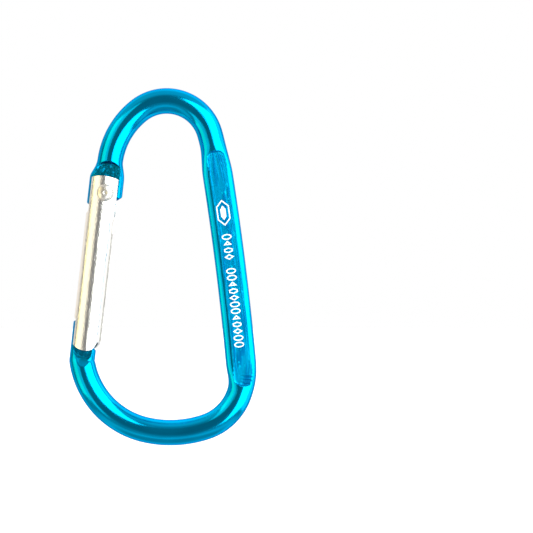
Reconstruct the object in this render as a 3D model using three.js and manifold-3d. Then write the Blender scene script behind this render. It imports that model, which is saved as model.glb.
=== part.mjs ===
// A small accessory carabiner: a bent and pressed aluminium bar closed by a sprung tube gate.
// Millimetres, +Z up. The carabiner hangs: the origin is the top of the inside of its upper arch,
// where a hook carries it. The gate is on the -X side and the front face looks along -Y.
import * as THREE from 'three';
import { mergeVertices } from 'three/addons/utils/BufferGeometryUtils.js';
import Module from 'manifold-3d';

const wasm = await Module();
wasm.setup();
const rad = THREE.MathUtils.degToRad;

// ---- driving dimensions ------------------------------------------------------------------

const BAR_RADIUS = 2.865;
const BAR_SEGMENTS = 8; // per half turn
const BAR_STEP = 1.4;

// The bar's centre line starts at the hinge end and is bent clockwise, seen from the front.
const BAR_START = { x: -12.96, z: -11.92, heading: rad(87.12) };
const BENDS = [
  { radius: 17.32, angle: rad(48.85) }, // hinge shoulder
  { radius: 10.01, angle: rad(111.95) }, // upper arch, where it hangs
  { radius: 41.49, angle: rad(7.05) },
  { radius: 664.9, angle: rad(4.21) }, // spine
  { radius: 11.87, angle: rad(76.39) }, // lower outer corner
  { radius: 24.9, angle: rad(31.85) }, // bottom sweep
  { radius: 18.48, angle: rad(71.09) }, // up to the nose
];

// The spine is pressed between two dies, which leaves a flat on its front and back. The bar
// widens over a longer stretch than the dies' own shoulder. Squareness 2 is a plain ellipse.
const PRESS = {
  top: -8.9, bottom: -60.2, shoulder: 1.2, spread: 4.5,
  flat: 2.2, halfWidth: 3.39, crown: 2.32, squareness: 3.2,
};

// The rivet's centre carries the local frame of the hinge, the gate and the nose: local X points
// to the inside of the carabiner, local Z up along the gate.
const RIVET = { x: -13.92, z: -17.655, lean: rad(6.5) };
const TONGUE_HALF = 1.45; // both ends of the bar are pressed to this half thickness
const PIVOT_HOLE_RADIUS = 0.95;
const HINGE_TONGUE = {
  outer: -3.83, inner: 3.85, root: 7.2, rootOuter: -2.5, rootInner: 2.9,
  flareTop: 6, flareBottom: 1.6, foot: -2.8, footCorner: 0.6, cutback: 0.9, cutbackFoot: -2.4,
};
const NOSE_TONGUE = {
  outer: -3.8, inner: 1.9, root: -38.9, rootOuter: -3.2, rootInner: 1.4, shoulder: -35.4,
  blade: 1.5, tip: -29, innerCorner: 1.2, outerCorner: 0.5,
};
const HINGE_SCOOP = { radius: 4.7, centre: 2.4, end: -4 };
const NOSE_SCOOP = { radius: 3, x: -0.6, centre: -35.9, near: 4, far: -5, end: -28 };

const GATE = {
  axis: -0.5, outer: 3.25, inner: 2.65, // tube centre line beside the rivet, and its radii
  top: 3.71, topArc: 8, bottom: -35.4, bottomArc: 4.2,
  slit: 0.5, slotHalf: 1.75, // half widths of the seam and of the tongue slots
  outerSlotEnd: -4.95, innerSlotEnd: -5.7, noseSlotEnd: -28.3,
  cornerTurn: rad(33), cornerRise: 3, // how far the round end runs before its corner is taken off
  rivetHole: 1.1, segments: 15, spare: 1, // the tube is cut from a length this much longer at each end
};

const SEAT = { x: 1.95, z: -0.8, radius: 0.85, depth: 0.35 }; // spring seat under the hinge tongue
const SPRING = { coil: 0.6, wire: 0.14, top: -0.72, bottom: -3.62, turns: 5, sides: 12, facets: 3 };
const PLUNGER = {
  cap: 0.75, capTop: -3.8, shoulder: -4.9, tip: -5.5, tipRadius: 0.3, stem: 0.3, stemTop: -2.2,
};
const SHANK = 0.85;
const FRONT_HEAD = { radius: 1.85, rim: 3.1, crown: 4.15 };
const BACK_HEAD = { radius: 1.5, rim: 3.3, crown: 4.0 };
const HEAD_ROOT = 1.6; // the heads start this far from the middle, inside the tube
const HEAD_SWELL = 0.1; // how far a dome stands over a straight cone
const HEAD_SHOULDER = 0.86; // radius of a dome halfway up, as a share of its rim's
const HEAD_GAP = 0.2; // between a head's saddle and the tube

const CLEAR = 5; // past the widest section, for cuts that go right through
const SIDES = 20; // facets of a round hole or pin

// ---- materials -----------------------------------------------------------------------------

const anodised = new THREE.MeshStandardMaterial({ color: 0x0099c4, roughness: 0.25, metalness: 0.9 });
const aluminium = new THREE.MeshStandardMaterial({ color: 0xd6d6d2, roughness: 0.35, metalness: 1 });
const rivetMetal = new THREE.MeshStandardMaterial({ color: 0xc9c7c0, roughness: 0.4, metalness: 1 });
const springSteel = new THREE.MeshStandardMaterial({ color: 0x9a9a98, roughness: 0.3, metalness: 1 });
const darkSteel = new THREE.MeshStandardMaterial({ color: 0x24282a, roughness: 0.5, metalness: 0.7 });

// ---- solids ---------------------------------------------------------------------------------

function solid(geometry) {
  const bare = geometry.clone();
  bare.deleteAttribute('normal');
  bare.deleteAttribute('uv');
  const merged = mergeVertices(bare, 1e-5);
  return new wasm.Manifold(new wasm.Mesh({
    numProp: 3,
    vertProperties: new Float32Array(merged.attributes.position.array),
    triVerts: new Uint32Array(merged.index.array),
  }));
}

function geometryOf(manifold) {
  const mesh = manifold.getMesh();
  const geometry = new THREE.BufferGeometry();
  geometry.setAttribute('position', new THREE.BufferAttribute(mesh.vertProperties, 3));
  geometry.setIndex(new THREE.BufferAttribute(mesh.triVerts, 1));
  geometry.computeVertexNormals();
  return geometry;
}

// An outline in the local XZ plane, extruded between two Y values.
function plate(outline, near, far) {
  const geometry = new THREE.ExtrudeGeometry(outline, {
    depth: far - near, bevelEnabled: false, curveSegments: SIDES / 2,
  });
  geometry.rotateX(Math.PI / 2);
  geometry.translate(0, far, 0);
  return geometry;
}

function box(x, y, z) {
  const geometry = new THREE.BoxGeometry(x[1] - x[0], y[1] - y[0], z[1] - z[0]);
  return geometry.translate((x[0] + x[1]) / 2, (y[0] + y[1]) / 2, (z[0] + z[1]) / 2);
}

// A round hole through the rivet's axis, front to back.
function crossBore(radius) {
  return new THREE.CylinderGeometry(radius, radius, 2 * CLEAR, SIDES);
}

// A round profile of [radius, height] pairs turned about Z.
function turned(profile) {
  const points = profile.map(([radius, height]) => new THREE.Vector2(radius, height));
  return new THREE.LatheGeometry(points, SIDES).rotateX(Math.PI / 2);
}

const toWorld = new THREE.Matrix4()
  .makeRotationY(RIVET.lean)
  .setPosition(RIVET.x, 0, RIVET.z);

// ---- the bar ---------------------------------------------------------------------------------

const barLength = BENDS.reduce((sum, bend) => sum + bend.radius * bend.angle, 0);

// The point and heading of the centre line at a distance from the hinge end.
function centreLine(distance) {
  let { x, z, heading } = BAR_START;
  let left = distance;
  for (const { radius, angle } of BENDS) {
    const turn = Math.min(left / radius, angle);
    const centre = { x: x + radius * Math.sin(heading), z: z - radius * Math.cos(heading) };
    heading -= turn;
    x = centre.x - radius * Math.sin(heading);
    z = centre.z + radius * Math.cos(heading);
    left -= turn * radius;
  }
  return { x, z, heading };
}

// How far the bar has been pressed at a point of the centre line: 0 on round bar, 1 on the spine.
function pressed({ x, z }, shoulder) {
  if (x < 0) return 0;
  const inside = Math.min(PRESS.top - z, z - PRESS.bottom) + shoulder;
  return THREE.MathUtils.smoothstep(inside, 0, shoulder);
}

// A coordinate of the unit circle, moved out towards the corners of a square.
function squared(value, squareness) {
  return Math.sign(value) * Math.abs(value) ** (2 / squareness);
}

// A unit prism laid along the centre line, its section round or pressed.
function bentBar() {
  const { lerp, clamp } = THREE.MathUtils;
  const circle = new THREE.Shape().absarc(0, 0, 1, 0, 2 * Math.PI);
  const steps = Math.round(barLength / BAR_STEP);
  const geometry = new THREE.ExtrudeGeometry(circle, {
    depth: 1, steps, bevelEnabled: false, curveSegments: BAR_SEGMENTS,
  });
  const place = geometry.attributes.position;
  for (let i = 0; i < place.count; i += 1) {
    const at = centreLine(place.getZ(i) * barLength);
    const spread = pressed(at, PRESS.spread);
    const squareness = lerp(2, PRESS.squareness, spread);
    const across = squared(place.getX(i), squareness) * lerp(BAR_RADIUS, PRESS.halfWidth, spread);
    const through = squared(place.getY(i), squareness) * lerp(BAR_RADIUS, PRESS.crown, spread);
    const level = lerp(BAR_RADIUS, PRESS.flat, pressed(at, PRESS.shoulder));
    place.setXYZ(
      i,
      at.x + across * Math.sin(at.heading),
      clamp(through, -level, level),
      at.z - across * Math.cos(at.heading),
    );
  }
  return geometry;
}

// The hinge tongue: wide around the rivet, cut back on the inside for the spring.
function hingeTongue() {
  const { outer, inner, root, rootOuter, rootInner, flareTop, flareBottom, foot, footCorner } = HINGE_TONGUE;
  const { cutback, cutbackFoot } = HINGE_TONGUE;
  const outline = new THREE.Shape();
  outline.moveTo(rootOuter, root);
  outline.quadraticCurveTo(outer, (root + flareBottom) / 2, outer, flareBottom);
  outline.lineTo(outer, foot + footCorner);
  outline.quadraticCurveTo(outer, foot, outer + footCorner, foot);
  outline.lineTo(cutback - footCorner, cutbackFoot);
  outline.quadraticCurveTo(cutback, cutbackFoot, cutback, cutbackFoot + footCorner);
  outline.lineTo(cutback, SEAT.z);
  outline.lineTo(inner - footCorner, SEAT.z);
  outline.quadraticCurveTo(inner, SEAT.z, inner, SEAT.z + footCorner);
  outline.lineTo(inner, flareBottom);
  outline.quadraticCurveTo(inner, (flareTop + flareBottom) / 2, rootInner, flareTop);
  outline.lineTo(rootInner, root);
  return outline;
}

// The nose tongue: a blade that the gate's free end closes over.
function noseTongue() {
  const { outer, inner, root, rootOuter, rootInner, shoulder, blade, tip } = NOSE_TONGUE;
  const { innerCorner, outerCorner } = NOSE_TONGUE;
  const outline = new THREE.Shape();
  outline.moveTo(rootOuter, root);
  outline.lineTo(rootInner, root);
  outline.quadraticCurveTo(inner, (root + shoulder) / 2, inner, shoulder);
  outline.lineTo(blade, shoulder + inner - blade);
  outline.lineTo(blade, tip - innerCorner);
  outline.quadraticCurveTo(blade, tip, blade - innerCorner, tip);
  outline.lineTo(outer + outerCorner, tip);
  outline.quadraticCurveTo(outer, tip, outer, tip - outerCorner);
  outline.lineTo(outer, root - outer + rootOuter);
  return outline;
}

// What the dies scoop away beside each tongue: a round-ended recess open towards the gate.
function hingeScoop() {
  const { radius, centre, end } = HINGE_SCOOP;
  const outline = new THREE.Shape();
  outline.moveTo(radius, end);
  outline.absarc(0, centre, radius, 0, Math.PI);
  outline.lineTo(-radius, end);
  return outline;
}

function noseScoop() {
  const { radius, x, centre, near, far, end } = NOSE_SCOOP;
  const outline = new THREE.Shape();
  outline.moveTo(far, centre);
  outline.absarc(x, centre, radius, Math.PI, 2 * Math.PI);
  outline.lineTo(near, centre);
  outline.lineTo(near, end);
  outline.lineTo(far, end);
  return outline;
}

function frameSolid() {
  const local = (geometry) => solid(geometry.applyMatrix4(toWorld));
  let bar = solid(bentBar());
  for (const scoop of [hingeScoop(), noseScoop()]) {
    bar = bar.subtract(local(plate(scoop, TONGUE_HALF, CLEAR)));
    bar = bar.subtract(local(plate(scoop, -CLEAR, -TONGUE_HALF)));
  }
  for (const tongue of [hingeTongue(), noseTongue()]) {
    bar = bar.add(local(plate(tongue, -TONGUE_HALF, TONGUE_HALF)));
  }
  bar = bar.subtract(local(crossBore(PIVOT_HOLE_RADIUS)));
  const seat = new THREE.CylinderGeometry(SEAT.radius, SEAT.radius, 2 * SEAT.depth, SIDES);
  seat.rotateX(Math.PI / 2);
  return bar.subtract(local(seat.translate(SEAT.x, 0, SEAT.z)));
}

// ---- the gate --------------------------------------------------------------------------------

// The rolled sheet's section: a ring open along the inside seam.
function sleeveSection() {
  const outerEdge = Math.asin(GATE.slit / GATE.outer);
  const innerEdge = Math.asin(GATE.slit / GATE.inner);
  const section = new THREE.Shape();
  section.absarc(0, 0, GATE.outer, outerEdge, 2 * Math.PI - outerEdge);
  section.absarc(0, 0, GATE.inner, 2 * Math.PI - innerEdge, innerEdge, true);
  return section;
}

// The sleeve's side outline: rounded ends, and one corner taken off beside the nose.
function sleeveOutline() {
  const { axis, top, topArc, bottom, bottomArc, cornerTurn, cornerRise } = GATE;
  const topAngle = Math.asin(bottomArc / topArc);
  const outline = new THREE.Shape();
  outline.absarc(axis, top - topArc, topArc, Math.PI / 2 - topAngle, Math.PI / 2 + topAngle);
  outline.absarc(axis, bottom + bottomArc, bottomArc, Math.PI, 1.5 * Math.PI + cornerTurn);
  outline.lineTo(axis + bottomArc, bottom + cornerRise);
  return outline;
}

function sleeveSolid() {
  const { axis, top, bottom, spare, slotHalf, outerSlotEnd, innerSlotEnd, noseSlotEnd } = GATE;
  const tube = new THREE.ExtrudeGeometry(sleeveSection(), {
    depth: top - bottom + 2 * spare, bevelEnabled: false, curveSegments: GATE.segments,
  });
  tube.translate(axis, 0, bottom - spare);
  const slot = [-slotHalf, slotHalf];
  return solid(tube)
    .intersect(solid(plate(sleeveOutline(), -CLEAR, CLEAR)))
    .subtract(solid(box([axis - CLEAR, axis], slot, [outerSlotEnd, top + CLEAR])))
    .subtract(solid(box([axis, axis + CLEAR], slot, [innerSlotEnd, top + CLEAR])))
    .subtract(solid(box([axis - CLEAR, axis], slot, [bottom - CLEAR, noseSlotEnd])))
    .subtract(solid(crossBore(GATE.rivetHole)));
}

// A domed head on a shank end, in front (side 1) or behind (side -1); its underside follows the tube.
function rivetHead({ radius, rim, crown }, side) {
  const dome = turned([
    [0, HEAD_ROOT], [radius, HEAD_ROOT], [radius, rim],
    [radius * HEAD_SHOULDER, (rim + crown) / 2 + HEAD_SWELL], [radius / 2, crown - HEAD_SWELL], [0, crown],
  ]);
  const saddle = GATE.outer + HEAD_GAP;
  const tube = new THREE.CylinderGeometry(saddle, saddle, 4 * radius, 2 * SIDES);
  tube.rotateX(Math.PI / 2).translate(GATE.axis, 0, 0);
  return solid(dome.rotateX(side * Math.PI / 2)).subtract(solid(tube));
}

function rivetSolid() {
  const reach = GATE.outer + 2 * HEAD_GAP;
  const shank = new THREE.CylinderGeometry(SHANK, SHANK, 2 * reach, SIDES);
  return solid(shank).add(rivetHead(FRONT_HEAD, 1)).add(rivetHead(BACK_HEAD, -1));
}

// ---- the spring and its plunger ---------------------------------------------------------------

class Helix extends THREE.Curve {
  getPoint(t, target = new THREE.Vector3()) {
    const turn = 2 * Math.PI * SPRING.turns * t;
    return target.set(
      SEAT.x + SPRING.coil * Math.cos(turn),
      SPRING.coil * Math.sin(turn),
      THREE.MathUtils.lerp(SPRING.top, SPRING.bottom, t),
    );
  }
}

function springGeometry() {
  const wire = new THREE.Shape().absarc(0, 0, SPRING.wire, 0, 2 * Math.PI);
  return new THREE.ExtrudeGeometry(wire, {
    extrudePath: new Helix(), steps: SPRING.turns * SPRING.sides, curveSegments: SPRING.facets,
    bevelEnabled: false,
  });
}

function plungerGeometry() {
  const { cap, capTop, shoulder, tip, tipRadius, stem, stemTop } = PLUNGER;
  const profile = [
    [0, tip], [tipRadius, tip], [cap, shoulder], [cap, capTop], [stem, capTop], [stem, stemTop], [0, stemTop],
  ];
  return turned(profile).translate(SEAT.x, 0, 0);
}

// ---- assembly -----------------------------------------------------------------------------------

function part(name, geometry, material) {
  const mesh = new THREE.Mesh(geometry, material);
  mesh.name = name;
  return mesh;
}

const carabiner = new THREE.Group();
carabiner.add(part('frame', geometryOf(frameSolid()), anodised));

const gate = new THREE.Group();
gate.position.set(RIVET.x, 0, RIVET.z);
gate.rotation.y = RIVET.lean;
gate.add(part('gate_sleeve', geometryOf(sleeveSolid()), aluminium));
gate.add(part('pivot_rivet', geometryOf(rivetSolid()), rivetMetal));
gate.add(part('gate_spring', springGeometry(), springSteel));
gate.add(part('spring_plunger', plungerGeometry(), darkSteel));
carabiner.add(gate);

export default carabiner;
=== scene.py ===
"""Looks of a small accessory carabiner: pressed and anodised bar, sleeve gate, rivet, spring and plunger."""

import logging
from collections.abc import Callable, Iterable, Iterator
from dataclasses import dataclass, field
from enum import Enum
from itertools import cycle, islice
from math import asin, atan2, copysign, cos, hypot, pi, radians, sin, sqrt

import bmesh
import bpy
from mathutils import Matrix, Vector


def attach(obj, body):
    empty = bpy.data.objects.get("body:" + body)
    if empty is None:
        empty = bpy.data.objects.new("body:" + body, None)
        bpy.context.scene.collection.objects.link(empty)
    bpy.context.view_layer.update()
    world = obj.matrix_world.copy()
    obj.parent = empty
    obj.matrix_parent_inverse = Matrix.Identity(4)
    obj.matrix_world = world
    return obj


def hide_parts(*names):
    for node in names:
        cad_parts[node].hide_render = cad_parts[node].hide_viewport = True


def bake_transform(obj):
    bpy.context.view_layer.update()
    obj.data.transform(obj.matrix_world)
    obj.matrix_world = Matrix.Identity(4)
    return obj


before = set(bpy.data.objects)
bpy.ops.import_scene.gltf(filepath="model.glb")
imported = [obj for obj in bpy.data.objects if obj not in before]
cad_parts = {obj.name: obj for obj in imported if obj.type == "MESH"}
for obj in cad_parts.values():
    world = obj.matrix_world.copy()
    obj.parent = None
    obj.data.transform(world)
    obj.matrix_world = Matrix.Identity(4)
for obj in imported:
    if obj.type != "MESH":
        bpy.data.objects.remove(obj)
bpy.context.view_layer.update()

MM = 0.001
WELD = 1e-4  # millimetres; vertices closer than this are one
HOLE_SIDES = 40
LOG = logging.getLogger("carabiner")
Shape = Callable[[Vector], Vector]
Triple = tuple[float, float, float]
Pair = tuple[float, float]


class Face(Enum):
    """The two broad faces of the carabiner; the value is the sign of their Y."""

    FRONT = -1
    BACK = 1


class Mark(Enum):
    """The figures of the printed ornament; the value is how many sides each has."""

    TRIANGLE = 3
    DIAMOND = 4
    HEXAGON = 6
    RING = 40


# ---- small maths ---------------------------------------------------------------------------------


def ease(value: float, low: float, high: float) -> float:
    """Smooth step from 0 at low to 1 at high; low may be the larger.

    Args:
        value: where on the ramp.
        low: where the ramp is 0.
        high: where the ramp is 1.

    Returns:
        The eased share, 0 to 1.
    """
    share = min(max((value - low) / (high - low), 0.0), 1.0)
    return share * share * (3 - 2 * share)


def mix(low: float, high: float, share: float) -> float:
    """Straight blend between two numbers."""
    return low + (high - low) * share


def clamp(value: float, limit: float) -> float:
    """Value held between -limit and limit."""
    return min(max(value, -limit), limit)


def round_in(distance: float, radius: float) -> float:
    """Rounds a corner off.

    Args:
        distance: from the side that the corner ends.
        radius: of the corner.

    Returns:
        How far the rounded edge falls back from the square one.
    """
    if distance >= radius:
        return 0.0
    gone = radius - max(distance, 0.0)
    return radius - sqrt(max(radius * radius - gone * gone, 0.0))


def squared(value: float, squareness: float) -> float:
    """A coordinate of the unit circle, moved out towards the corners of a square; 2 leaves it."""
    return copysign(abs(value) ** (2 / squareness), value)


# ---- mesh helpers ----------------------------------------------------------------------------------


def drawn_tube(stations: Iterable[float], segments: int) -> bmesh.types.BMesh:
    """Draws a straight tube of radius 1 along Z, closed at both ends.

    Args:
        stations: heights of the rings, rising.
        segments: sides of each ring.

    Returns:
        The tube; it is given its real form by reshape().
    """
    heights = list(stations)
    bm = bmesh.new()
    bmesh.ops.create_circle(bm, cap_ends=True, segments=segments, radius=1.0)
    bmesh.ops.translate(bm, verts=bm.verts, vec=(0, 0, heights[0]))
    edges = list(bm.edges)
    for below, above in zip(heights, heights[1:]):
        grown = bmesh.ops.extrude_edge_only(bm, edges=edges)["geom"]
        ring = [item for item in grown if isinstance(item, bmesh.types.BMVert)]
        edges = [item for item in grown if isinstance(item, bmesh.types.BMEdge)]
        bmesh.ops.translate(bm, verts=ring, vec=(0, 0, above - below))
    bmesh.ops.contextual_create(bm, geom=edges)
    return bm


def lathe(profile: Iterable[tuple[float, float]], steps: int) -> bmesh.types.BMesh:
    """Turns a profile about Z.

    Args:
        profile: (radius, height) pairs that start and end on the axis.
        steps: facets round the axis.

    Returns:
        The closed turned solid.
    """
    bm = bmesh.new()
    points = [bm.verts.new((radius, 0, height)) for radius, height in profile]
    edges = [bm.edges.new(pair) for pair in zip(points, points[1:])]
    bmesh.ops.spin(
        bm, geom=points + edges, cent=(0, 0, 0), axis=(0, 0, 1), angle=2 * pi, steps=steps, use_merge=True
    )
    bmesh.ops.remove_doubles(bm, verts=bm.verts, dist=WELD)
    return bm


def reshape(bm: bmesh.types.BMesh, shape: Shape) -> None:
    """Moves every vertex to where shape puts it."""
    for vert in bm.verts:
        vert.co = shape(vert.co)


def stations(spans: Iterable[tuple[float, float, float]]) -> list[float]:
    """Lists ring places.

    Args:
        spans: (start, end, step) of each stretch, each starting where the last ended.

    Returns:
        The places, from the first start to the last end.
    """
    places: list[float] = []
    for start, end, step in spans:
        count = max(1, round((end - start) / step))
        places += [mix(start, end, i / count) for i in range(count)]
    return places + [end]


def as_object(bm: bmesh.types.BMesh, name: str, sharp: float = 35.0) -> bpy.types.Object:
    """Turns a bmesh in millimetres into an object in metres at the origin.

    Args:
        bm: the finished mesh; it is freed.
        name: the object's name.
        sharp: edges sharper than this many degrees stay crisp.

    Returns:
        The linked object.
    """
    bmesh.ops.scale(bm, verts=bm.verts, vec=(MM, MM, MM))
    bmesh.ops.recalc_face_normals(bm, faces=bm.faces)
    mesh = bpy.data.meshes.new(name)
    bm.to_mesh(mesh)
    bm.free()
    mesh.shade_smooth()
    mesh.set_sharp_from_angle(angle=radians(sharp))
    made = bpy.data.objects.new(name, mesh)
    bpy.context.scene.collection.objects.link(made)
    return made


def applied(made: bpy.types.Object, sharp: float = 35.0) -> bpy.types.Object:
    """Bakes an object's modifiers into its mesh.

    Args:
        made: the object.
        sharp: edges sharper than this many degrees stay crisp.

    Returns:
        The same object, with no modifiers.
    """
    graph = bpy.context.evaluated_depsgraph_get()
    mesh = bpy.data.meshes.new_from_object(made.evaluated_get(graph))
    made.modifiers.clear()
    made.data = mesh
    mesh.shade_smooth()
    mesh.set_sharp_from_angle(angle=radians(sharp))
    return made


def cut(made: bpy.types.Object, tools: Iterable[bmesh.types.BMesh]) -> bpy.types.Object:
    """Drills an object with closed cutters in millimetres.

    Args:
        made: the object to cut.
        tools: the cutters; each is freed.

    Returns:
        The cut object.
    """
    for tool in tools:
        cutter = as_object(tool, "cutter")
        drill = made.modifiers.new("drill", "BOOLEAN")
        drill.operation = "DIFFERENCE"
        drill.solver = "EXACT"
        drill.object = cutter
        applied(made)
        bpy.data.objects.remove(cutter)
    return made


def fit_out(
    piece: bpy.types.Object,
    material: bpy.types.Material,
    slot: str,
    body: str | None,
    replaces: str | None = None,
) -> bpy.types.Object:
    """Dresses a piece and ties it to the model.

    Args:
        piece: the finished object.
        material: its finish.
        slot: the record's slot for that finish.
        body: the body it rides on, or None to leave it unattached.
        replaces: the model's node that it stands for.

    Returns:
        The piece.
    """
    piece.data.materials.clear()
    piece.data.materials.append(material)
    if body:
        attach(piece, body)
    if replaces:
        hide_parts(replaces)
    LOG.info("%s: %d faces, slot %s", piece.name, len(piece.data.polygons), slot)
    return piece


# ---- shader helpers -----------------------------------------------------------------------------------


class Signal:
    """A shader value that Python operators work on; each expression adds its Math node."""

    def __init__(self, graph: "Graph", socket: bpy.types.NodeSocket) -> None:
        """Keeps the node graph and the socket that carries the value."""
        self.graph = graph
        self.socket = socket

    def __add__(self, other: "Signal | float") -> "Signal":
        """Sum."""
        return self.graph.math("ADD", self, other)

    def __radd__(self, other: float) -> "Signal":
        """Sum, reflected."""
        return self.graph.math("ADD", other, self)

    def __sub__(self, other: "Signal | float") -> "Signal":
        """Difference."""
        return self.graph.math("SUBTRACT", self, other)

    def __rsub__(self, other: float) -> "Signal":
        """Difference, reflected."""
        return self.graph.math("SUBTRACT", other, self)

    def __mul__(self, other: "Signal | float") -> "Signal":
        """Product."""
        return self.graph.math("MULTIPLY", self, other)

    def __rmul__(self, other: float) -> "Signal":
        """Product, reflected."""
        return self.graph.math("MULTIPLY", other, self)

    def ramp(self, low: float, high: float) -> "Signal":
        """Smooth step of the signal.

        Args:
            low: the value that gives 0; it may be the larger.
            high: the value that gives 1.

        Returns:
            The eased signal.
        """
        values = {"Value": self, "From Min": low, "From Max": high}
        found = self.graph.node("ShaderNodeMapRange", values, interpolation_type="SMOOTHSTEP")
        return Signal(self.graph, found.outputs["Result"])


class Graph:
    """Builds the node tree of one material or of the world."""

    def __init__(self, tree: bpy.types.NodeTree) -> None:
        """Takes over a tree and empties it."""
        self.tree = tree
        tree.nodes.clear()

    def node(self, kind: str, values: dict | None = None, **settings: object) -> bpy.types.Node:
        """Adds a node.

        Args:
            kind: the node's type.
            values: numbers, colours, sockets or signals by input name or index.
            settings: the node's own properties, set before its inputs; stops are a ramp's.

        Returns:
            The node.
        """
        made = self.tree.nodes.new(kind)
        stops = settings.pop("stops", None)
        for name, value in settings.items():
            setattr(made, name, value)
        if stops:
            elements = made.color_ramp.elements
            while len(elements) < len(stops):
                elements.new(0.5)
            for element, (place, colour) in zip(elements, stops):
                element.position = place
                element.color = (*colour, 1.0)
        for name, value in (values or {}).items():
            if isinstance(value, Signal):
                value = value.socket
            if isinstance(value, bpy.types.NodeSocket):
                self.tree.links.new(value, made.inputs[name])
            else:
                made.inputs[name].default_value = value
        return made

    def math(self, operation: str, first: "Signal | float", second: "Signal | float") -> Signal:
        """One Math node as a signal."""
        made = self.node("ShaderNodeMath", {0: first, 1: second}, operation=operation)
        return Signal(self, made.outputs[0])

    def noise(self, place: bpy.types.NodeSocket, scale: Triple, detail: float = 3.0) -> Signal:
        """Noise stretched along the axes.

        Args:
            place: the coordinate it reads, in metres.
            scale: features per millimetre on each axis.
            detail: octaves.

        Returns:
            The noise, about 0.2 to 0.8.
        """
        per_metre = tuple(value / MM for value in scale)
        turned = self.node("ShaderNodeMapping", {"Vector": place, "Scale": per_metre})
        made = self.node("ShaderNodeTexNoise", {"Vector": turned.outputs[0], "Scale": 1.0, "Detail": detail})
        return Signal(self, made.outputs["Fac"])

    def attribute(self, name: str) -> bpy.types.Node:
        """The piece's own attribute of that name."""
        return self.node("ShaderNodeAttribute", attribute_name=name)

    def blend(self, share: Signal, first: object, second: object) -> bpy.types.NodeSocket:
        """Mixes two colours.

        Args:
            share: how much of the second.
            first: a colour or a socket.
            second: a colour or a socket.

        Returns:
            The mixed colour.
        """
        made = self.tree.nodes.new("ShaderNodeMix")
        made.data_type = "RGBA"
        self.tree.links.new(share.socket, made.inputs[0])
        for socket, value in ((made.inputs[6], first), (made.inputs[7], second)):
            if isinstance(value, bpy.types.NodeSocket):
                self.tree.links.new(value, socket)
            else:
                socket.default_value = (*value, 1.0)
        return made.outputs[2]

    def bump(self, height: Signal, depth: float) -> bpy.types.NodeSocket:
        """A bumped normal; depth is in millimetres."""
        values = {"Height": height, "Distance": depth * MM, "Strength": 1.0}
        return self.node("ShaderNodeBump", values).outputs["Normal"]


def new_material(name: str) -> tuple[bpy.types.Material, Graph]:
    """Starts a node material.

    Args:
        name: of the material.

    Returns:
        The empty material and its graph.
    """
    material = bpy.data.materials.new(name)
    material.use_nodes = True
    return material, Graph(material.node_tree)


def surface(graph: Graph, values: dict) -> None:
    """Ends a graph in a Principled surface with the given inputs."""
    shader = graph.node("ShaderNodeBsdfPrincipled", values)
    graph.node("ShaderNodeOutputMaterial", {"Surface": shader.outputs[0]})


@dataclass(frozen=True)
class AnodisedTurquoise:
    """Bright dyed anodising over drawn bar; satin on the pressed flats, grained and mottled darker on the
    pressed faces of the scoops.

    The scales are features per millimetre across, through and along the bar.
    """

    colour: Triple = (0.0, 0.39, 0.72)
    deep: Triple = (0.0, 0.33, 0.62)
    streak: Triple = (0.0, 0.23, 0.56)
    rubbed: Triple = (0.0, 0.62, 0.95)
    # Darker tone mottled over the pressed faces of the scoops.
    dark_mottle: Triple = (0.0, 0.17, 0.27)
    gloss: float = 0.11
    flat_roughness: float = 0.42
    scoop_roughness: float = 0.2
    line_roughness: float = 0.06
    line_scale: Triple = (2.6, 2.6, 0.05)
    cloud_scale: Triple = (0.3, 0.3, 0.1)
    brush_scale: Triple = (3.2, 3.2, 0.16)
    fleck_scale: Triple = (4.2, 4.2, 0.8)
    grain_scale: Triple = (1.3, 1.3, 1.1)
    line_height: float = 0.6
    brush_height: float = 3.4
    grain_height: float = 4.0
    relief: float = 0.05

    def build(self) -> bpy.types.Material:
        """Makes the material.

        Returns:
            The material; it reads the bar's drawn, flat and scoop attributes.
        """
        material, graph = new_material("anodised_turquoise")
        drawn = graph.attribute("drawn").outputs["Vector"]
        flat = Signal(graph, graph.attribute("flat").outputs["Fac"])
        scoop = Signal(graph, graph.attribute("scoop").outputs["Fac"])
        lines = graph.noise(drawn, self.line_scale, 4.0)
        cloud = graph.noise(drawn, self.cloud_scale, 2.0)
        brushed = graph.noise(drawn, self.brush_scale, 4.0)
        flecks = graph.noise(drawn, self.fleck_scale, 3.0)
        grain = graph.noise(drawn, self.grain_scale, 5.0)
        dye = graph.blend(cloud.ramp(0.35, 0.7), self.colour, self.deep)
        streaked = graph.blend(brushed.ramp(0.44, 0.6) * flat, dye, self.streak)
        rubbed = graph.blend(flecks.ramp(0.6, 0.7) * flat, streaked, self.rubbed)
        # Mottles the scoops' pressed faces darker where the grain is low.
        base = graph.blend(scoop * grain.ramp(0.66, 0.54), rubbed, self.dark_mottle)
        worked = flat * self.flat_roughness + scoop * self.scoop_roughness
        height = lines * (1 - flat) * self.line_height
        height = height + brushed * flat * self.brush_height + grain * scoop * self.grain_height
        values = {
            "Base Color": base,
            "Metallic": 1.0,
            "Roughness": self.gloss + worked + lines * self.line_roughness,
            "Specular Tint": (*self.colour, 1.0),
            "Normal": graph.bump(height, self.relief),
        }
        surface(graph, values)
        return material


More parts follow.
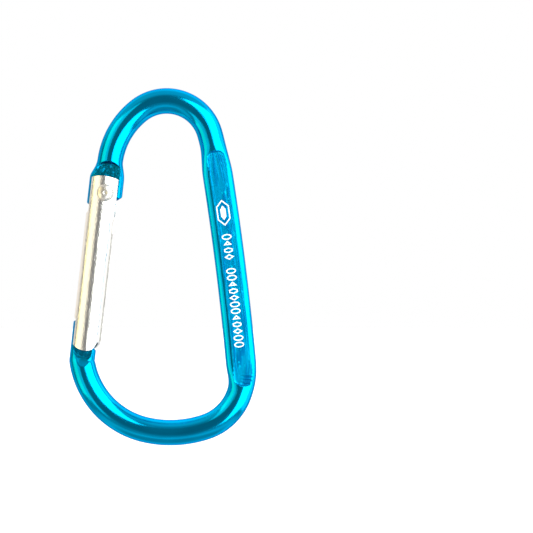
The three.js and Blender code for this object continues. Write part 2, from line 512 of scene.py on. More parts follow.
@dataclass(frozen=True)
class SatinAluminium:
    """Natural aluminium sheet, brushed lengthwise before it was rolled, with handling marks."""

    lean: float
    colour: Triple = (0.87, 0.86, 0.83)
    stained: Triple = (0.7, 0.67, 0.6)
    roughness: float = 0.07
    uneven: float = 0.05
    stain: float = 0.3
    brush_scale: Triple = (5.0, 5.0, 0.14)
    broad_scale: Triple = (1.4, 1.4, 0.08)
    speck_scale: Triple = (3.0, 3.0, 2.2)
    brush_height: float = 0.9
    speck_height: float = 3.2
    relief: float = 0.02

    def build(self) -> bpy.types.Material:
        """Makes the material.

        Returns:
            The material; its brushing runs along the leaning gate.
        """
        material, graph = new_material("satin_aluminium")
        place = graph.node("ShaderNodeTexCoord").outputs["Object"]
        along = graph.node("ShaderNodeMapping", {"Vector": place, "Rotation": (0, -self.lean, 0)}).outputs[0]
        brushed = graph.noise(along, self.brush_scale, 5.0)
        broad = graph.noise(along, self.broad_scale)
        specks = graph.noise(along, self.speck_scale, 5.0)
        stains = broad.ramp(0.45, 0.7) * self.stain + specks.ramp(0.6, 0.72) * self.stain
        height = brushed * self.brush_height + specks * self.speck_height
        values = {
            "Base Color": graph.blend(stains, self.colour, self.stained),
            "Metallic": 1.0,
            "Roughness": self.roughness + brushed * self.uneven + specks * self.uneven,
            "Normal": graph.bump(height, self.relief),
        }
        surface(graph, values)
        return material


@dataclass(frozen=True)
class WornMetal:
    """Bare or near-black metal with a fine pitted and rubbed surface."""

    name: str
    colour: Triple
    worn: Triple
    roughness: float
    pits: float = 1.0
    uneven: float = 0.18
    pit_scale: Triple = (4.0, 4.0, 4.0)
    rub_scale: Triple = (1.1, 1.1, 1.1)
    relief: float = 0.04

    def build(self) -> bpy.types.Material:
        """Makes the material.

        Returns:
            The material, patterned on the piece's own axes.
        """
        material, graph = new_material(self.name)
        place = graph.node("ShaderNodeTexCoord").outputs["Object"]
        fine = graph.noise(place, self.pit_scale, 4.0)
        broad = graph.noise(place, self.rub_scale)
        values = {
            "Base Color": graph.blend(broad.ramp(0.4, 0.68), self.colour, self.worn),
            "Metallic": 1.0,
            "Roughness": self.roughness + fine * self.uneven,
            "Normal": graph.bump(fine * self.pits + broad, self.relief),
        }
        surface(graph, values)
        return material


@dataclass(frozen=True)
class PrintInk:
    """Pad-printed white ink, a little thin in places."""

    colour: Triple = (0.88, 0.93, 0.95)
    thin: Triple = (0.55, 0.74, 0.84)
    roughness: float = 0.4
    uneven: float = 0.2
    mottle_scale: Triple = (3.0, 3.0, 3.0)
    relief: float = 0.004

    def build(self) -> bpy.types.Material:
        """Makes the material.

        Returns:
            The material, patterned on the piece's own axes.
        """
        material, graph = new_material("white_ink")
        place = graph.node("ShaderNodeTexCoord").outputs["Object"]
        mottle = graph.noise(place, self.mottle_scale, 4.0)
        values = {
            "Base Color": graph.blend(mottle.ramp(0.5, 0.8), self.colour, self.thin),
            "Roughness": mottle * self.uneven + self.roughness,
            "Normal": graph.bump(mottle, self.relief),
        }
        surface(graph, values)
        return material


# ---- the bar ------------------------------------------------------------------------------------------


@dataclass(frozen=True)
class HingeFrame:
    """The rivet's own axes: x to the inside of the carabiner, z up along the gate, in millimetres."""

    x: float = -13.92
    z: float = -17.655
    lean: float = radians(6.5)

    def world(self, co: Vector) -> Vector:
        """A local point in the carabiner's axes."""
        c, s = cos(self.lean), sin(self.lean)
        return Vector((self.x + co.x * c + co.z * s, co.y, self.z - co.x * s + co.z * c))

    def local(self, co: Vector) -> Vector:
        """Takes a point to the rivet's own axes.

        Args:
            co: a point of the carabiner.

        Returns:
            The same point in the local axes.
        """
        c, s = cos(self.lean), sin(self.lean)
        x, z = co.x - self.x, co.z - self.z
        return Vector((x * c - z * s, co.y, x * s + z * c))

    def drill(self, radius: float, reach: float) -> bmesh.types.BMesh:
        """Makes a cutter through the rivet's centre, front to back.

        Args:
            radius: of the hole.
            reach: how far it goes to the front and to the back.

        Returns:
            The closed cutter.
        """
        tool = drawn_tube((-reach, reach), HOLE_SIDES)
        reshape(tool, lambda co: self.world(Vector((co.x * radius, co.z, co.y * radius))))
        return tool


@dataclass(frozen=True)
class HingeEnd:
    """The bar's upper end, pressed to a tongue in a scoop; its places are in the rivet's own axes."""

    sides: Pair = (-3.85, 3.85)
    spreading: Pair = (7.3, 3.1)
    foot: float = -2.8
    foot_shaping: Pair = (1.8, -2.8)
    cutback: Pair = (0.75, 1.15)
    seat_level: float = -0.8
    outer_corner: float = 0.6
    inner_corner: float = 0.62
    scoop_middle: float = 2.4
    scoop_height: float = 4.7
    scoop_reach: Pair = (3.3, 4.6)
    scoop_power: float = 2.5
    scoop_depth: float = 3.6
    rim: float = 0.9
    rim_end: Pair = (4.6, 3.4)
    wall: Pair = (-0.05, 0.45)
    # Strength of the darker mottle, roughness and grain on the hinge scoop's pressed faces.
    dark_mottle: float = 1.0

    def spread(self, level: float) -> float:
        """How far the bar has been pressed out to the tongue's width at a level."""
        return ease(level, *self.spreading)

    def outline(self, share: float, level: float) -> Vector:
        """Places a point of the tongue, cut back on the inside for the spring.

        Args:
            share: how far across, 0 outside to 1 inside.
            level: the height that it has on the bar.

        Returns:
            Its place.
        """
        low, high = self.sides
        place = Vector((mix(low, high, share), 0, level))
        edge = mix(self.foot, self.seat_level, ease(place.x, *self.cutback))
        edge = edge + round_in(place.x - low, self.outer_corner) + round_in(high - place.x, self.inner_corner)
        place.z += (edge - self.foot) * ease(level, *self.foot_shaping)
        return place

    def scooped(self, co: Vector) -> float:
        """Shapes the scoop, which leaves a rim on the bar's outer side.

        Args:
            co: a local point.

        Returns:
            Its share of the scoop's depth.
        """
        outer, inner = self.scoop_reach
        aside = abs(co.x / (outer if co.x < 0 else inner))
        beyond = max(co.z - self.scoop_middle, 0.0) / self.scoop_height
        edge = (aside**self.scoop_power + beyond**self.scoop_power) ** (1 / self.scoop_power)
        inside = (1 - edge) * self.scoop_depth + self.rim * ease(co.z, *self.rim_end)
        return ease(inside, *self.wall)

    def to_tip(self, level: float) -> float:
        """How far a level is from the tongue's tip."""
        return level - self.foot


@dataclass(frozen=True)
class NoseEnd:
    """The bar's lower end, pressed to a blade behind a ramp; its places are in the rivet's own axes."""

    sides: Pair = (-3.8, 1.9)
    spreading: Pair = (-38.7, -37.3)
    blade: float = 1.5
    blade_step: Pair = (-35.3, -34.9)
    tip: float = -29.0
    tip_shaping: Pair = (-31.5, -29.0)
    outer_corner: float = 0.5
    inner_corner: float = 1.1
    ramp_x: float = -0.55
    ramp_z: float = -35.9
    ramp_radius: float = 3.2
    ramp_length: float = 2.2
    ramp_spare: float = 0.2
    # Strength of the darker mottle, roughness and grain on the nose ramp's pressed faces.
    dark_mottle: float = 0.6

    def spread(self, level: float) -> float:
        """How far the bar has been pressed out to the blade's width at a level."""
        return ease(level, *self.spreading)

    def outline(self, share: float, level: float) -> Vector:
        """Places a point of the blade, its tip rounded.

        Args:
            share: how far across, 0 outside to 1 inside.
            level: the height that it has on the bar.

        Returns:
            Its place.
        """
        low, high = self.sides
        high = mix(high, self.blade, ease(level, *self.blade_step))
        place = Vector((mix(low, high, share), 0, level))
        back = round_in(place.x - low, self.outer_corner) + round_in(high - place.x, self.inner_corner)
        place.z -= back * ease(level, *self.tip_shaping)
        return place

    def scooped(self, co: Vector) -> float:
        """Shapes the straight ramp down to the blade; it starts at an arc and ends below the gate.

        Args:
            co: a local point.

        Returns:
            Its share of the ramp's depth.
        """
        aside = min(abs(co.x - self.ramp_x), self.ramp_radius)
        chord = sqrt(self.ramp_radius**2 - aside**2)
        length = min(self.ramp_length, chord + self.ramp_spare)
        return min(max((co.z - self.ramp_z + chord) / length, 0.0), 1.0)

    def to_tip(self, level: float) -> float:
        """How far a level is from the blade's tip."""
        return self.tip - level


@dataclass
class Bar:
    """The bent bar with its pressed spine and ends; millimetres, and distances from the hinge end."""

    hinge: HingeFrame
    hinge_end: HingeEnd = HingeEnd()
    nose_end: NoseEnd = NoseEnd()
    radius: float = 2.865
    start: Pair = (-12.96, -11.92)
    heading: float = radians(87.12)
    bends: tuple[Pair, ...] = (  # radius and degrees of each
        (17.32, 48.85), (10.01, 111.95), (41.49, 7.05), (664.9, 4.21), (11.87, 76.39), (24.9, 31.85),
        (18.48, 71.09),
    )
    segments: int = 96
    hinge_reach: float = 8.7
    nose_reach: float = 8.3
    end_run: float = 12.0
    press_top: float = -8.4
    press_bottom: float = -60.7
    die_half: float = 2.35
    die_point: float = 0.9
    die_power: int = 3
    die_shift: float = -0.4
    die_wall: Pair = (-0.15, 0.35)
    floor_share: Pair = (0.75, 1.0)
    floor_edge: Pair = (0.04, 0.005)
    widening: Pair = (-2.0, 5.5)
    flat: float = 2.2
    half_width: float = 3.39
    crown: float = 2.34
    squareness: float = 3.8
    chatter: float = 0.14
    chatter_pitch: float = 0.75
    chatter_along: Pair = (-57.6, -58.6)
    chatter_across: Pair = (0.1, -0.6)
    tongue: float = 1.45
    tongue_bulge: float = 2.3
    tip_round: float = 0.22
    crease: float = 0.1
    hole: float = 0.95
    drill_reach: float = 4.0
    seat_x: float = 1.95
    seat_radius: float = 0.78
    seat_depth: float = 0.35
    seat_sides: int = 32
    length: float = field(init=False)

    def __post_init__(self) -> None:
        """Works out the length of the bent part."""
        self.length = sum(radius * radians(angle) for radius, angle in self.bends)

    def centre(self, distance: float) -> Triple:
        """Walks the centre line.

        Args:
            distance: from the hinge end; straight on before it and past the nose end.

        Returns:
            X, Z and the heading there.
        """
        (x, z), heading = self.start, self.heading
        left = distance
        for radius, angle in self.bends:
            turn = min(max(left, 0.0) / radius, radians(angle))
            middle_x, middle_z = x + radius * sin(heading), z - radius * cos(heading)
            heading -= turn
            x, z = middle_x - radius * sin(heading), middle_z + radius * cos(heading)
            left -= turn * radius
        return x + left * cos(heading), z + left * sin(heading), heading

    def die_depth(self, z: float, across: float) -> float:
        """Finds how far inside the dies' outline a point of the spine is.

        Args:
            z: its height.
            across: its distance from the centre line, positive to the inside.

        Returns:
            The distance, negative outside; the outline has squarish round ends.
        """
        end = self.die_half / self.die_point
        beyond = max(z - (self.press_top - end), (self.press_bottom + end) - z, 0.0) * self.die_point
        aside = abs(across - self.die_shift)
        return self.die_half - (beyond**self.die_power + aside**self.die_power) ** (1 / self.die_power)

    def bent(self, co: Vector) -> tuple[Vector, float]:
        """Places a point of the straight unit bar on the bent bar.

        Args:
            co: cos, sin and distance on the straight bar.

        Returns:
            Its place, and its share of the flat's brushed floor.
        """
        x, z, heading = self.centre(co.z)
        inside = min(self.press_top - z, z - self.press_bottom) if x > 0 else self.widening[0]
        widen = ease(inside, *self.widening)
        square = mix(2.0, self.squareness, widen)  # 2 is a plain ellipse
        across = squared(co.x, square) * mix(self.radius, self.half_width, widen)
        through = squared(co.y, square) * mix(self.radius, self.crown, widen)
        depth = ease(self.die_depth(z, across), *self.die_wall) if x > 0 else 0.0
        worked = ease(z, *self.chatter_along) * ease(across, *self.chatter_across) * depth
        wave = self.chatter * sin(z * 2 * pi / self.chatter_pitch)
        level = mix(self.radius, self.flat + wave * worked, depth)
        pressed = clamp(through, level)
        place = Vector((x + across * sin(heading), pressed, z - across * cos(heading)))
        near, full = self.floor_edge
        return place, ease(depth, *self.floor_share) * ease(abs(pressed), level - near, level - full)

    def formed(self, co: Vector) -> tuple[Vector, float, float]:
        """Places a point of the straight bar on the finished one.

        Args:
            co: cos, sin and distance on the straight bar.

        Returns:
            Its place, its share of the flat and its share of a scoop.
        """
        place, flat = self.bent(co)
        if self.end_run < co.z < self.length - self.end_run:
            return place, flat, 0.0
        end = self.hinge_end if co.z <= self.end_run else self.nose_end
        x, z, _ = self.centre(co.z)
        level = self.hinge.local(Vector((x, 0, z))).z
        spread = end.spread(level)
        spot = self.hinge.local(place).lerp(end.outline((co.x + 1) / 2, level), spread)
        scoop = end.scooped(spot)
        thick = mix(self.radius, self.tongue - round_in(end.to_tip(level), self.tip_round), scoop)
        full = co.y * mix(self.radius, self.tongue_bulge, spread)
        spot.y = clamp(full, thick)
        # Share of the darker mottle, roughness and grain: the scoop's pressed faces.
        dark_mottle = end.dark_mottle * scoop * ease(abs(full), thick - self.crease, thick + self.crease)
        return self.hinge.world(spot), 0.0, dark_mottle

    def rings(self) -> list[float]:
        """Ring places, close together at the ends and where the dies' shoulders are."""
        return stations((
            (-self.hinge_reach, 4.0, 0.11), (4.0, 35.5, 0.6), (35.5, 42.5, 0.13), (42.5, 84.0, 0.7),
            (84.0, 93.5, 0.13), (93.5, self.length - 3.0, 0.6),
            (self.length - 3.0, self.length + self.nose_reach, 0.11),
        ))

    def seat(self) -> bmesh.types.BMesh:
        """Cutter for the round seat of the spring in the tongue's lower edge.

        Returns:
            The closed cutter.
        """
        tool = drawn_tube((-self.seat_depth, self.seat_depth), self.seat_sides)
        middle, wide = Vector((self.seat_x, 0, self.hinge_end.seat_level)), self.seat_radius
        reshape(tool, lambda co: self.hinge.world(middle + Vector((co.x * wide, co.y * wide, co.z))))
        return tool

    def build(self, material: bpy.types.Material) -> bpy.types.Object:
        """Forms, drills and dresses the bar.

        Args:
            material: the anodised finish.

        Returns:
            The finished piece.
        """
        bm = drawn_tube(self.rings(), self.segments)
        drawn = bm.verts.layers.float_vector.new("drawn")
        flat = bm.verts.layers.float.new("flat")
        scoop = bm.verts.layers.float.new("scoop")
        for vert in bm.verts:
            vert[drawn] = Vector((vert.co.x * self.radius, vert.co.y * self.radius, vert.co.z)) * MM
            vert.co, vert[flat], vert[scoop] = self.formed(vert.co)
        bar = as_object(bm, "carabiner_bar", sharp=50)
        cut(bar, (self.hinge.drill(self.hole, self.drill_reach), self.seat()))
        return fit_out(bar, material, "anodised_turquoise", "bar", "frame")


@dataclass(frozen=True)
class Figure:
    """One printed figure; a stroke of 0 fills it."""

    mark: Mark
    length: float
    width: float
    stroke: float

    def drawn(self) -> bmesh.types.BMesh:
        """Draws the figure centred, its length along Z.

        Returns:
            The figure, thickness 0 to 1 along Y.
        """
        bm = bmesh.new()
        bmesh.ops.create_circle(bm, cap_ends=True, segments=self.mark.value, radius=0.5)
        bmesh.ops.scale(bm, verts=bm.verts, vec=(self.width, self.length, 1))
        if self.stroke:
            middle = list(bm.faces)
            bmesh.ops.inset_region(
                bm, faces=middle, thickness=self.stroke, use_even_offset=True, use_boundary=True
            )
            bmesh.ops.delete(bm, geom=middle, context="FACES")
        grown = bmesh.ops.extrude_face_region(bm, geom=list(bm.faces))["geom"]
        raised = [item for item in grown if isinstance(item, bmesh.types.BMVert)]
        bmesh.ops.translate(bm, verts=raised, vec=(0, 0, 1))
        bmesh.ops.rotate(bm, verts=bm.verts, cent=(0, 0, 0), matrix=Matrix.Rotation(pi / 2, 3, "X"))
        return bm


@dataclass
class PrintedOrnament:
    """A plain printed row of figures in groups, with or without an emblem, on one flat of the spine."""

    bar: Bar
    face: Face
    top: float
    groups: tuple[int, ...]
    emblem: bool
    marks: tuple[Mark, ...] = (Mark.RING, Mark.TRIANGLE, Mark.HEXAGON, Mark.DIAMOND, Mark.RING)
    emblem_length: float = 5.8
    emblem_width: float = 3.3
    core_length: float = 3.248
    core_width: float = 1.32
    figure_length: float = 1.25
    figure_width: float = 2.2
    stroke: float = 0.24
    gap: float = 0.25
    group_gap: float = 1.9
    ink: float = 0.03

    def laid_out(self) -> Iterator[tuple[Figure, float]]:
        """Lists the figures.

        Yields:
            Each figure and how far along the bar its middle is.
        """
        place = self.top
        if self.emblem:
            middle = place + self.emblem_length / 2
            yield Figure(Mark.HEXAGON, self.emblem_length, self.emblem_width, self.stroke), middle
            yield Figure(Mark.HEXAGON, self.core_length, self.core_width, 0), middle
            place += self.emblem_length + self.group_gap
        marks = cycle(self.marks)
        for count in self.groups:
            for mark in islice(marks, count):
                figure = Figure(mark, self.figure_length, self.figure_width, self.stroke)
                yield figure, place + self.figure_length / 2
                place += self.figure_length + self.gap
            place += self.group_gap - self.gap

    def build(self, name: str, material: bpy.types.Material) -> bpy.types.Object:
        """Prints the figures down the flat.

        Args:
            name: the piece's name.
            material: the ink.

        Returns:
            The printed piece.
        """
        whole = bmesh.new()
        for figure, middle in self.laid_out():
            shape = figure.drawn()
            x, z, heading = self.bar.centre(middle)
            turn = Matrix.Rotation(-(heading + pi / 2), 4, "Y")
            bmesh.ops.transform(shape, verts=shape.verts, matrix=turn)
            for vert in shape.verts:
                rise = self.ink if abs(vert.co.y) > 0.5 else -self.ink
                vert.co = Vector((x + vert.co.x, self.face.value * (self.bar.flat + rise), z + vert.co.z))
            loose = bpy.data.meshes.new("figure")
            shape.to_mesh(loose)
            shape.free()
            whole.from_mesh(loose)
            bpy.data.meshes.remove(loose)
        piece = as_object(whole, name, sharp=30)
        return fit_out(piece, material, "white_print", "bar")


# ---- the gate -----------------------------------------------------------------------------------------


@dataclass
class Sleeve:
    """The gate: sheet rolled round the tongues, seam inside, slotted at both ends; millimetres."""

    hinge: HingeFrame
    axis: float = -0.5
    radius: float = 3.25
    wall: float = 0.6
    top: float = 3.71
    top_arc: float = 8.0
    top_run: float = 2.6
    bottom: float = -35.4
    bottom_arc: float = 4.2
    bottom_run: float = 4.0
    corner_start: float = 1.75
    corner_slope: float = 0.81
    seam: float = 0.5
    seam_turn: float = radians(15)
    seam_reach: Pair = (1.3, 0.3)
    seam_run: Pair = (-0.2, -3.5)
    slot: float = 1.75
    slot_corner: float = 0.7
    outer_slot: float = -4.95
    inner_slot: float = -5.7
    nose_slot: float = -28.3
    flare: float = 0.72
    flare_run: Pair = (-0.6, 1.2)
    hole: float = 1.1
    drill_reach: float = 5.0
    columns: int = 44
    rows: int = 190
    edge: float = 0.1
    edge_segments: int = 2
    edge_angle: float = radians(50)

    def opened(self, past: float) -> float:
        """Finds the half width of a slot, which has a round-cornered end.

        Args:
            past: distance past the slot's end.

        Returns:
            The half width there, 0 outside the slot.
        """
        if past <= 0:
            return 0.0
        share = min(past / self.slot_corner, 1.0)
        return self.slot * sqrt(1 - (1 - share) ** 2)

    def rolled(self, co: Vector) -> Vector:
        """Rolls the front half of the sheet.

        Args:
            co: a point of the flat blank, x from the seam at -1 to the outside at 1, y from end to end.

        Returns:
            Its place in the hinge's axes.
        """
        z = mix(self.bottom, self.top, (co.y + 1) / 2)
        inner = max(self.seam, self.opened(z - self.inner_slot))
        outer = max(self.opened(z - self.outer_slot), self.opened(self.nose_slot - z))
        first, last = asin(inner / self.radius), pi - asin(outer / self.radius)
        angle = mix(first, last, (co.x + 1) / 2)
        across = self.radius * cos(angle)
        drop = self.top_arc - sqrt(self.top_arc**2 - across**2)
        lift = self.bottom_arc - sqrt(self.bottom_arc**2 - across**2)
        lift += max(0.0, self.axis + across - self.corner_start) * self.corner_slope
        place_z = z - drop * ease(z, self.top - self.top_run, self.top)
        place_z += lift * ease(z, self.bottom + self.bottom_run, self.bottom)
        if across > 0:
            start, end = self.flare_run
            share = ease(z, self.inner_slot + start, self.inner_slot + end)
            across += self.flare * (across / self.radius) ** 2 * share
        return Vector((self.axis + across, -self.radius * sin(angle), place_z))

    def twisted(self, co: Vector) -> Vector:
        """Turns the seam a little to the front below the slot, as the rolling left it.

        Args:
            co: a point of the rolled sheet.

        Returns:
            Its place when turned.
        """
        across, through = co.x - self.axis, -co.y
        angle = atan2(through, across)
        start, end = self.seam_run
        below = ease(co.z, self.inner_slot + start, self.inner_slot + end)
        angle += self.seam_turn * ease(abs(angle), *self.seam_reach) * below
        reach = hypot(across, through)
        return Vector((self.axis + reach * cos(angle), -reach * sin(angle), co.z))

    def build(self, material: bpy.types.Material) -> bpy.types.Object:
        """Rolls, thickens, drills and dresses the sleeve.

        Args:
            material: the satin sheet.

        Returns:
            The finished piece.
        """
        bm = bmesh.new()
        bmesh.ops.create_grid(bm, x_segments=self.columns, y_segments=self.rows, size=1.0)
        reshape(bm, self.rolled)
        sheet = list(bm.verts) + list(bm.edges) + list(bm.faces)
        bmesh.ops.mirror(bm, geom=sheet, axis="Y", merge_dist=WELD)
        bmesh.ops.remove_doubles(bm, verts=bm.verts, dist=WELD)
        reshape(bm, lambda co: self.hinge.world(self.twisted(co)))
        self.face_out(bm)
        sleeve = self.thickened(bm)
        cut(sleeve, (self.hinge.drill(self.hole, self.drill_reach),))
        return fit_out(sleeve, material, "natural_aluminium", "gate", "gate_sleeve")

    def face_out(self, bm: bmesh.types.BMesh) -> None:
        """Makes the open sheet face away from the tube's axis, so that its wall grows inwards.

        Args:
            bm: the rolled sheet.
        """
        bmesh.ops.recalc_face_normals(bm, faces=bm.faces)
        middle = self.hinge.world(Vector((self.axis, 0, (self.top + self.bottom) / 2)))
        probe = min(bm.faces, key=lambda face: (face.calc_center_median() - middle).length)
        if probe.normal.dot(probe.calc_center_median() - middle) < 0:
            bmesh.ops.reverse_faces(bm, faces=bm.faces)

    def thickened(self, bm: bmesh.types.BMesh) -> bpy.types.Object:
        """Gives the rolled sheet its wall and broken edges.

        Args:
            bm: the open sheet, facing out.

        Returns:
            The closed sleeve.
        """
        bmesh.ops.scale(bm, verts=bm.verts, vec=(MM, MM, MM))
        mesh = bpy.data.meshes.new("gate_tube")
        bm.to_mesh(mesh)
        bm.free()
        sleeve = bpy.data.objects.new("gate_tube", mesh)
        bpy.context.scene.collection.objects.link(sleeve)
        wall = sleeve.modifiers.new("wall", "SOLIDIFY")
        wall.thickness = self.wall * MM
        wall.offset = -1.0
        soft = sleeve.modifiers.new("edges", "BEVEL")
        soft.width = self.edge * MM
        soft.segments = self.edge_segments
        soft.limit_method = "ANGLE"
        soft.angle_limit = self.edge_angle
        return applied(sleeve, sharp=40)


@dataclass
class Rivet:
    """The pivot rivet: domed head in front, set head behind, both seated on the round sleeve."""

    hinge: HingeFrame
    sleeve: Sleeve
    shank: float = 0.85
    head: float = 3.33
    head_shift: float = 0.2
    shift_run: Pair = (3.0, 3.36)
    seat_run: Pair = (3.35, 4.0)
    crown_follow: float = 0.35
    shank_reach: float = 2.0
    steps: int = 64

    def profile(self) -> list[Pair]:
        """Lists the rivet's outline.

        Returns:
            Radius and height of each corner, back to front.
        """
        back = [(0, -4.0), (0.5, -3.98), (1.05, -3.86), (1.38, -3.66), (1.5, -3.45), (1.47, -3.36)]
        front = [
            (1.85, 3.36), (1.93, 3.46), (1.88, 3.6), (1.65, 3.82), (1.25, 3.99), (0.8, 4.09), (0.45, 4.12),
        ]
        dimple = [(0.36, 4.09), (0.29, 4.02), (0.18, 4.0), (0, 4.03)]
        return back + [(self.shank, -self.head), (self.shank, self.head)] + front + dimple

    def seated(self, co: Vector) -> Vector:
        """Bends the heads over the sleeve; the undersides follow it closely and the crowns a little.

        Args:
            co: a point of the straight rivet, turned about Z.

        Returns:
            Its place in the carabiner's axes.
        """
        across = co.x - self.sleeve.axis
        fall = self.sleeve.radius - sqrt(max(self.sleeve.radius**2 - across**2, 0.0))
        high = abs(co.z)
        follow = 0.0 if high < self.shank_reach else mix(1.0, self.crown_follow, ease(high, *self.seat_run))
        lift = high - fall * follow
        aside = self.head_shift * ease(co.z, *self.shift_run)
        return self.hinge.world(Vector((co.x + aside, -lift if co.z > 0 else lift, co.y)))

    def build(self, material: bpy.types.Material) -> bpy.types.Object:
        """Turns, seats and dresses the rivet.

        Args:
            material: the rivet's metal.

        Returns:
            The finished piece.
        """
        bm = lathe(self.profile(), self.steps)
        reshape(bm, self.seated)
        rivet = as_object(bm, "rivet", sharp=60)
        return fit_out(rivet, material, "rivet_metal", "gate", "pivot_rivet")


@dataclass
class Pusher:
    """The coil spring under the hinge tongue and the plunger that it holds against the gate."""

    hinge: HingeFrame
    x: float = 1.95
    coil: float = 0.6
    wire: float = 0.14
    wire_sides: int = 12
    spring_top: float = -0.62
    spring_foot: float = -3.63
    turns: int = 6
    turn_steps: int = 32
    closing: float = 0.09
    blend_lead: float = 0.3
    plunger_steps: int = 48

    def wound(self, co: Vector) -> Vector:
        """Winds the straight wire into the spring, its end turns closed up.

        Args:
            co: unit section and the share of the wire's length.

        Returns:
            Its place in the carabiner's axes.
        """
        share = co.z
        turn = 2 * pi * self.turns * share
        closed = share - self.closing * sin(2 * pi * share)
        radius = self.coil + self.wire * co.x
        height = mix(self.spring_top - self.wire, self.spring_foot + self.wire, closed)
        spot = Vector((self.x + radius * cos(turn), radius * sin(turn), height + self.wire * co.y))
        return self.hinge.world(spot)

    def spring(self, material: bpy.types.Material) -> bpy.types.Object:
        """Winds and dresses the spring, which sits between the tongue and the plunger.

        Args:
            material: the wire.

        Returns:
            The finished piece.
        """
        wire = stations(((0.0, 1.0, 1 / (self.turns * self.turn_steps)),))
        bm = drawn_tube(wire, self.wire_sides)
        reshape(bm, self.wound)
        spring = as_object(bm, "return_spring", sharp=60)
        start = self.hinge.world(Vector((self.x, 0, self.spring_top))) * MM
        end = self.hinge.world(Vector((self.x, 0, self.spring_foot + self.blend_lead))) * MM
        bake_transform(spring)
        return fit_out(spring, material, "spring_steel", None, "gate_spring")

    def plunger(self, material: bpy.types.Material) -> bpy.types.Object:
        """Turns and dresses the plunger: stem, collar and blunt cone.

        Args:
            material: the near-black steel; its darkness is partly painted shade, standing in for the shadowed
                inside of the gate's slot.

        Returns:
            The finished piece.
        """
        profile = [
            (0, -5.5), (0.2, -5.49), (0.32, -5.44), (0.4, -5.34), (0.68, -4.98), (0.74, -4.86), (0.75, -4.75),
            (0.75, -3.93), (0.72, -3.84), (0.66, -3.8), (0.3, -3.8), (0.3, -2.3), (0.26, -2.22), (0, -2.2),
        ]
        bm = lathe(profile, self.plunger_steps)
        reshape(bm, lambda co: self.hinge.world(co + Vector((self.x, 0, 0))))
        plunger = as_object(bm, "plunger", sharp=40)
        return fit_out(plunger, material, "dark_steel", "pusher", "spring_plunger")


# ---- studio -------------------------------------------------------------------------------------------


@dataclass(frozen=True)
class SoftBox:
    """A soft box that faces the object; degrees from the front and above the horizon, and metres."""

    name: str
    turn: float
    rise: float
    size: Pair
    radiance: float
    colour: Triple
    distance: float = 0.8

    def hang(self, height: float) -> None:
        """Hangs the light.

        Args:
            height: of the object's middle.
        """
        data = bpy.data.lights.new(self.name, "AREA")
        data.shape = "RECTANGLE"
        data.size, data.size_y = self.size
        data.energy = self.radiance * self.size[0] * self.size[1] * pi
        data.color = self.colour
        light = bpy.data.objects.new(self.name, data)
        turn, rise = radians(self.turn), radians(self.rise)
        away = Vector((sin(turn) * cos(rise), -cos(turn) * cos(rise), sin(rise)))
        light.location = Vector((0, 0, height)) + away * self.distance
        light.rotation_mode = "QUATERNION"
        light.rotation_quaternion = away.to_track_quat("Z", "Y")
        bpy.context.scene.collection.objects.link(light)


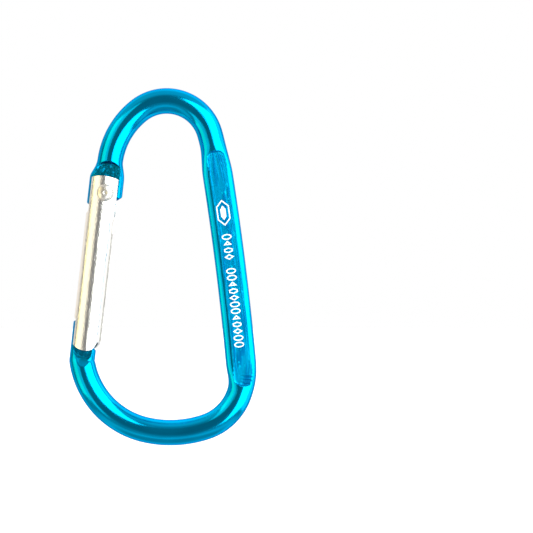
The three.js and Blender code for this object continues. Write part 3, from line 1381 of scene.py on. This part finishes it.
@dataclass
class Studio:
    """Pale floor, white surround, soft boxes and the camera; metres."""

    view_width: float = 0.1193
    lens: float = 150.0
    clip: Pair = (0.01, 20.0)
    aim: Triple = (0.02215, 0.0, -0.0341)
    floor_drop: float = 0.16
    floor_radius: float = 4.0
    floor_sides: int = 96
    floor_glow: float = 0.5
    front: float = 0.27
    above: float = 0.55
    below: float = 0.24
    under: float = 0.4
    behind: float = 0.75
    warm: Triple = (1.0, 0.93, 0.85)
    boxes: tuple[SoftBox, ...] = (
        SoftBox("key_right", 47, 7, (1.05, 1.4), 2.8, (0.97, 1.0, 0.97)),
        SoftBox("rim_right", 94, 5, (0.62, 1.4), 1.1, (1.0, 1.0, 1.0)),
        SoftBox("fill_left", -39, 4, (0.34, 1.1), 1.05, (1.0, 0.93, 0.74)),
        SoftBox("warm_left", -67, 4, (0.48, 1.1), 1.9, (1.0, 0.9, 0.44)),
    )

    def camera(self) -> None:
        """Sets the camera square on to the front, as far off as frames the view's width."""
        data = bpy.data.cameras.new("camera")
        data.lens = self.lens
        data.clip_start, data.clip_end = self.clip
        camera = bpy.data.objects.new("camera", data)
        distance = self.view_width * self.lens / data.sensor_width
        camera.location = Vector(self.aim) - Vector((0, distance, 0))
        camera.rotation_euler = (pi / 2, 0, 0)
        bpy.context.scene.collection.objects.link(camera)
        bpy.context.scene.camera = camera

    def floor(self) -> None:
        """Lays the pale floor below the hanging carabiner."""
        bm = bmesh.new()
        bmesh.ops.create_circle(bm, cap_ends=True, segments=self.floor_sides, radius=self.floor_radius)
        bmesh.ops.translate(bm, verts=bm.verts, vec=(0, 0, -self.floor_drop))
        mesh = bpy.data.meshes.new("floor")
        bm.to_mesh(mesh)
        bm.free()
        floor = bpy.data.objects.new("floor", mesh)
        bpy.context.scene.collection.objects.link(floor)
        floor.data.materials.append(self.floor_paint())
        floor.visible_glossy = False

    def floor_paint(self) -> bpy.types.Material:
        """Makes the floor's pale matt paint.

        Returns:
            The material, faintly clouded.
        """
        material, graph = new_material("pale_floor")
        place = graph.node("ShaderNodeTexCoord").outputs["Object"]
        cloud = graph.noise(place, (0.002, 0.002, 0.002))
        values = {
            "Base Color": graph.blend(cloud, (0.9, 0.9, 0.9), (0.93, 0.93, 0.93)),
            "Roughness": 0.7,
            "Emission Color": (1, 1, 1, 1),
            "Emission Strength": self.floor_glow,
        }
        surface(graph, values)
        return material

    def surround(self) -> None:
        """A white tent: dim in front where the lens looks in, bright behind and above, dimmer below."""
        world = bpy.data.worlds.new("tent")
        bpy.context.scene.world = world
        world.use_nodes = True
        graph = Graph(world.node_tree)
        way = graph.node("ShaderNodeTexCoord").outputs["Generated"]
        parts = graph.node("ShaderNodeSeparateXYZ", {0: way})
        aside, away, rise = (Signal(graph, parts.outputs[axis]) for axis in "XYZ")
        above = rise.ramp(0.2, 0.7) * away.ramp(-0.85, -0.3) * self.above
        below = rise.ramp(-0.2, -0.55) * self.below
        under = rise.ramp(-0.62, -0.74) * rise.ramp(-0.92, -0.8) * self.under
        behind = away.ramp(0.0, 0.5) * (1 - rise.ramp(-0.2, -0.8) * 0.55) * self.behind
        strength = self.front + above + below + under + behind
        tint = graph.blend(aside.ramp(0.0, -0.6), (1.0, 1.0, 1.0), self.warm)
        seen = Signal(graph, graph.node("ShaderNodeLightPath").outputs["Is Camera Ray"])
        lit = seen + (1 - seen) * strength
        colour = graph.blend(seen, tint, (1.0, 1.0, 1.0))
        shader = graph.node("ShaderNodeBackground", {"Color": colour, "Strength": lit})
        graph.node("ShaderNodeOutputWorld", {"Surface": shader.outputs[0]})

    def build(self) -> None:
        """Sets up camera, floor, surround and lights."""
        self.camera()
        self.floor()
        self.surround()
        for box in self.boxes:
            box.hang(self.aim[2])
        bpy.context.scene.view_settings.view_transform = "Standard"


def main() -> None:
    """Builds the studio and every piece."""
    logging.basicConfig(level=logging.INFO, format="%(name)s %(message)s")
    Studio().build()
    hinge = HingeFrame()
    ink = PrintInk().build()
    bar = Bar(hinge)
    bar.build(AnodisedTurquoise().build())
    PrintedOrnament(bar, Face.FRONT, 49.6, (4, 12), emblem=True).build("front_print", ink)
    PrintedOrnament(bar, Face.BACK, 52.0, (6, 3, 5), emblem=False).build("back_print", ink)
    sleeve = Sleeve(hinge)
    sleeve.build(SatinAluminium(hinge.lean).build())
    bare = WornMetal("rivet_metal", (0.78, 0.76, 0.72), (0.6, 0.56, 0.48), 0.24)
    Rivet(hinge, sleeve).build(bare.build())
    pusher = Pusher(hinge)
    pusher.spring(WornMetal("spring_wire", (0.62, 0.61, 0.6), (0.45, 0.44, 0.42), 0.18, 0.3).build())
    # The plunger's near-black is partly the colour of its dark steel and partly painted shade, standing in
    # for the shadowed inside of the gate's slot.
    pusher.plunger(WornMetal("blackened", (0.035, 0.04, 0.045), (0.12, 0.11, 0.1), 0.3, 0.6).build())


if __name__ == "__main__":
    main()
